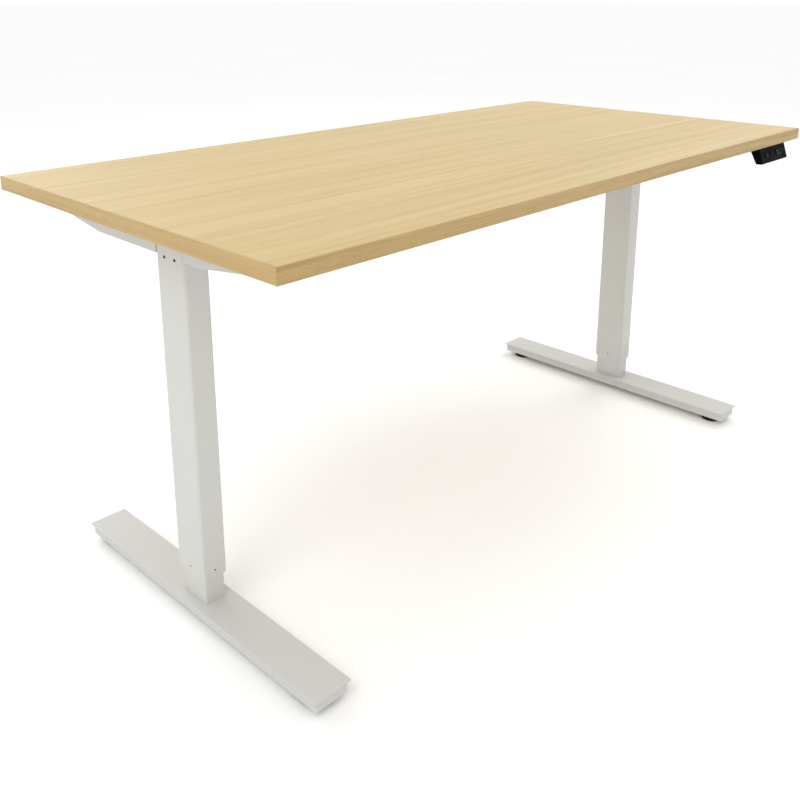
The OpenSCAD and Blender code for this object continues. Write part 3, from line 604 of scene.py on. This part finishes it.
housing_low, housing_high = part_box("handset_housing")
face_lean = math.radians(18.5)
face_up = Vector((0, math.sin(face_lean), math.cos(face_lean)))
face_out = Vector((0, -math.cos(face_lean), math.sin(face_lean)))
face_half_height = (housing_high.z - housing_low.z) / 2
face_middle = Vector(
    (
        handset_x * MM,
        housing_low.y + face_half_height * math.tan(face_lean),
        housing_low.z + face_half_height,
    )
)
key_apart = middle_of("up_key").x - handset_x


def on_face(point):
    """Place on the hand control's front: along it, up it and out of it, in millimetres."""
    away = (point - face_middle) / MM
    return away.x, away.dot(face_up), away.dot(face_out)


def round_window(edge):
    """True for the edges of the two openings that the keys stand in."""
    half_length, half_height, flush = 18, 9, 0.1
    places = [on_face(v.co) for v in edge.verts]
    return all(
        abs(abs(along) - key_apart) < half_length and abs(up) < half_height and abs(out) < flush
        for along, up, out in places
    )


def round_rim(edge):
    """True for the housing's lower rim and for its long upright corners."""
    long, tall = 25 * MM, 20 * MM
    levels = [v.co.z for v in edge.verts]
    if max(levels) < housing_low.z + 0.05 * MM:
        return True
    return edge.calc_length() > long and abs(levels[0] - levels[1]) > tall


def round_cap(edge):
    """True for the rim of a key's proud face, not for the arrow that is cut in it."""
    proud, arrow_reach = 0.95, 5
    places = [on_face(v.co) for v in edge.verts]
    furthest = max(abs(abs(along) - key_apart) for along, up, out in places)
    return furthest > arrow_reach and all(out > proud for along, up, out in places)


def round_lip(edge):
    """True for the lip plate's front and sides, not for its back and its screw holes."""
    lip_depth = 30 * MM
    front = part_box("handset_plate")[0].y
    return min(v.co.y for v in edge.verts) < front + lip_depth


def key_arrow(name, node, x, turn):
    """The triangle that lies in the arrow cut in a key's face, pointing up or down."""
    size, base, top = 3.7, 0.58, 0.88
    bm = bmesh.new()
    layers = []
    for out in (base, top):
        layer = []
        for k in range(3):
            a = math.pi / 2 * turn + 2 * math.pi * k / 3
            along = Vector((x + size * math.cos(a), 0, 0))
            away = along + face_up * (size * math.sin(a)) + face_out * out
            layer.append(bm.verts.new(face_middle + away * MM))
        layers.append(layer)
        bm.faces.new(layer)
    under, over = layers
    for k in range(3):
        n = (k + 1) % 3
        bm.faces.new((under[k], under[n], over[n], over[k]))
    finished(bm, name, node, material=mark_paint, replaces=False)


bm = copy_of("handset_housing")
windows = [e for e in sharp_edges(bm, least=1 * MM) if round_window(e)]
round_off(bm, windows, radius=0.5 * MM, segments=2)
rim = [e for e in sharp_edges(bm) if round_rim(e)]
round_off(bm, rim, radius=1.6 * MM, segments=4)
finished(bm, "handset_shell", "handset_housing")

softened(
    "handset_lip",
    "handset_plate",
    radius=0.5 * MM,
    least=0.1 * MM,
    segments=2,
    choose=round_lip,
)

for way, turn in (("up", 1), ("down", -1)):
    bm = copy_of(f"{way}_key")
    rim = [e for e in sharp_edges(bm) if round_cap(e)]
    round_off(bm, rim, radius=0.6 * MM)
    finished(bm, f"{way}_key_cap", f"{way}_key")
    key_arrow(f"{way}_key_arrow", f"{way}_key", turn * key_apart, turn)


# --- Levelling glides ------------------------------------------------------


def glide(centre):
    """A round pad with an eased rim, a hexagon hub and a stud ringed like a thread."""
    pad_top, hub_top, stud_top = 6.0, 12.95, 30.0
    crest, root, pitch = 5.0, 4.3, 1.5
    bm = bmesh.new()
    pad = [
        (0.0, 0.4), (22.5, 0.4), (23.0, 0.0), (24.0, 0.0), (24.7, 0.3), (25.0, 1.0),
        (25.0, 3.3), (24.6, 4.3), (23.6, 5.1), (22.0, 5.6), (16.0, 5.9), (11.0, pad_top),
        (0.0, pad_top),
    ]
    lathe(bm, in_metres(pad), steps=72, centre=centre)
    # In the hub the first number of each pair is its width across the flats
    hub = [
        (0.0, pad_top - 0.1), (13.6, pad_top - 0.1), (14.72, 6.6), (14.72, 12.3),
        (13.6, hub_top), (0.0, hub_top),
    ]
    lathe(
        bm,
        in_metres(hub),
        steps=48,
        centre=centre,
        wave=lambda r, a: hexagon(a, r) if r > 0 else r,
    )
    stud = [(0.0, hub_top - 0.05), (4.4, hub_top - 0.05)]
    level, thread_top = 13.2, stud_top - 1
    while level < thread_top:
        stud += [(root, level), (crest, level + 0.5), (crest, level + 0.7), (root, level + 1.2)]
        level += pitch
    stud += [(root, stud_top - 0.4), (root - 0.4, stud_top), (0.0, stud_top)]
    lathe(bm, in_metres(stud), steps=32, centre=centre)
    return bm


glide_y = middle_of("glide_right_back").y
for side, sx in (("left", -1), ("right", 1)):
    for end, sy in (("front", -1), ("back", 1)):
        bm = glide(Vector((sx * column_x, sy * glide_y, 0)) * MM)
        finished(bm, f"glide_foot_{side}_{end}", f"glide_{side}_{end}")


# --- Drive and control box -------------------------------------------------


def spindle(x, low, high):
    """A right-hand trapezoidal screw with its plain journal, upright at the given X."""
    pitch, crest, root, journal, steps = 6.0, 8.0, 6.5, 6.0, 24
    journal_length, plain_end, relief, overlap = 67.3, 3.0, 4.0, 0.1
    same_place = 1e-7
    thread = ((0.0, crest), (0.2, root), (0.5, root), (0.7, crest))
    shoulder = high - journal_length
    start, stop = low + plain_end, shoulder - relief
    turns = int((stop - start) / pitch) + 2
    bm = bmesh.new()
    columns = []
    for k in range(steps):
        a = 2 * math.pi * k / steps
        column = []
        for turn in range(-1, turns + 1):
            for share, radius in thread:
                z = start + pitch * (turn + share + k / steps)
                if not start < z < stop:
                    z, radius = min(max(z, start), stop), root
                at = (x + radius * math.cos(a), radius * math.sin(a), z)
                column.append(bm.verts.new([c * MM for c in at]))
        columns.append(column)
    for k in range(steps):
        this, other = columns[k], columns[(k + 1) % steps]
        # Past the last column the thread has climbed by one pitch
        ahead = 0 if k + 1 < steps else len(thread)
        for i in range(len(this) - 1 - ahead):
            bm.faces.new((this[i], other[i + ahead], other[i + 1 + ahead], this[i + 1]))
    bmesh.ops.remove_doubles(bm, verts=bm.verts, dist=same_place)
    lower_end = [
        (0.0, low), (crest - 1, low), (crest, low + 1), (crest, start + overlap),
        (0.0, start + overlap),
    ]
    upper_end = [
        (0.0, stop - overlap), (crest, stop - overlap), (crest, shoulder), (journal, shoulder),
        (journal, high - 0.6), (journal - 0.6, high), (0.0, high),
    ]
    for outline in (lower_end, upper_end):
        lathe(bm, in_metres(outline), steps=32, centre=(x * MM, 0, 0))
    return bm


for side, sign in (("left", -1), ("right", 1)):
    softened(f"{side}_motor_can", f"{side}_motor", radius=1.0 * MM, least=0)
    low, high = (corner.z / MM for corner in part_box(f"{side}_spindle"))
    screw = spindle(sign * column_x, low, high)
    finished(screw, f"{side}_screw_spindle", f"{side}_spindle")


def under_cover(edge):
    """True for the edges round the control box cover's lower face."""
    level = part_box("control_box_cover")[0].z + 0.1 * MM
    return all(v.co.z < level for v in edge.verts)


softened(
    "control_box_shell",
    "control_box_cover",
    radius=1.6 * MM,
    least=0.1 * MM,
    segments=4,
    choose=under_cover,
)
softened("control_box_flange", "control_box_base", radius=0.6 * MM, least=20 * MM)


# --- Floor, light and camera -----------------------------------------------


def white_floor(reach):
    """A matt white floor, part of the studio and not of the desk."""
    mesh = bpy.data.meshes.new("floor")
    corners = [(-reach, -reach, 0), (reach, -reach, 0), (reach, reach, 0), (-reach, reach, 0)]
    mesh.from_pydata(corners, [], [(0, 1, 2, 3)])
    floor = bpy.data.objects.new("floor", mesh)
    bpy.context.scene.collection.objects.link(floor)
    paint = Paint("floor_white", 0.9, specular=0.1)
    cloud = paint.noise(paint.place, 0.8)
    wear(floor, paint.finish(paint.ramp(cloud, (0.3, 0.955), (0.7, 0.97))))


def aimed(obj, direction):
    """Points a lamp or a camera along a direction, with its upper side up."""
    obj.rotation_euler = direction.to_track_quat("-Z", "Y").to_euler()
    bpy.context.scene.collection.objects.link(obj)


def lamp(name, place, target, size, power):
    """A round area lamp that shines on its target."""
    light = bpy.data.lights.new(name, "AREA")
    light.shape = "DISK"
    light.size = size
    light.energy = power
    obj = bpy.data.objects.new(name, light)
    obj.location = place
    aimed(obj, Vector(target) - Vector(place))


white_floor(reach=60.0)

world = bpy.data.worlds.new("studio")
bpy.context.scene.world = world
world.use_nodes = True
sky = world.node_tree.nodes["Background"]
sky.inputs["Color"].default_value = (*WHITE, 1)
sky.inputs["Strength"].default_value = 1.0

lamp("overhead", (-0.4, 0.4, 5.0), target=(0, 0, 0.4), size=5.0, power=10.0)
lamp("left", (-3.2, -1.0, 3.4), target=(-0.6, 0, 0.1), size=2.5, power=40.0)
lamp("right", (3.2, 0.2, 3.4), target=(0.6, 0, 0.1), size=2.5, power=35.0)
lamp("back", (-0.2, 3.6, 3.0), target=(0, 0, 0.2), size=3.0, power=40.0)

bpy.context.scene.view_settings.view_transform = "Standard"
bpy.context.scene.view_settings.look = "None"

# The camera stands off the front left corner. It looks back, to the right and slightly down
camera_data = bpy.data.cameras.new("camera")
camera_data.sensor_width = 36.0
camera_data.lens = 40.88
camera_data.shift_y = -0.20
camera_data.clip_start = 0.05
camera_data.clip_end = 200.0
camera = bpy.data.objects.new("camera", camera_data)
camera.location = (-1.448, -1.242, 1.085)
yaw, pitch = math.radians(45.68), math.radians(15.44)
level_reach = math.cos(pitch)
aimed(
    camera,
    Vector((math.sin(yaw) * level_reach, math.cos(yaw) * level_reach, -math.sin(pitch))),
)
bpy.context.scene.camera = camera
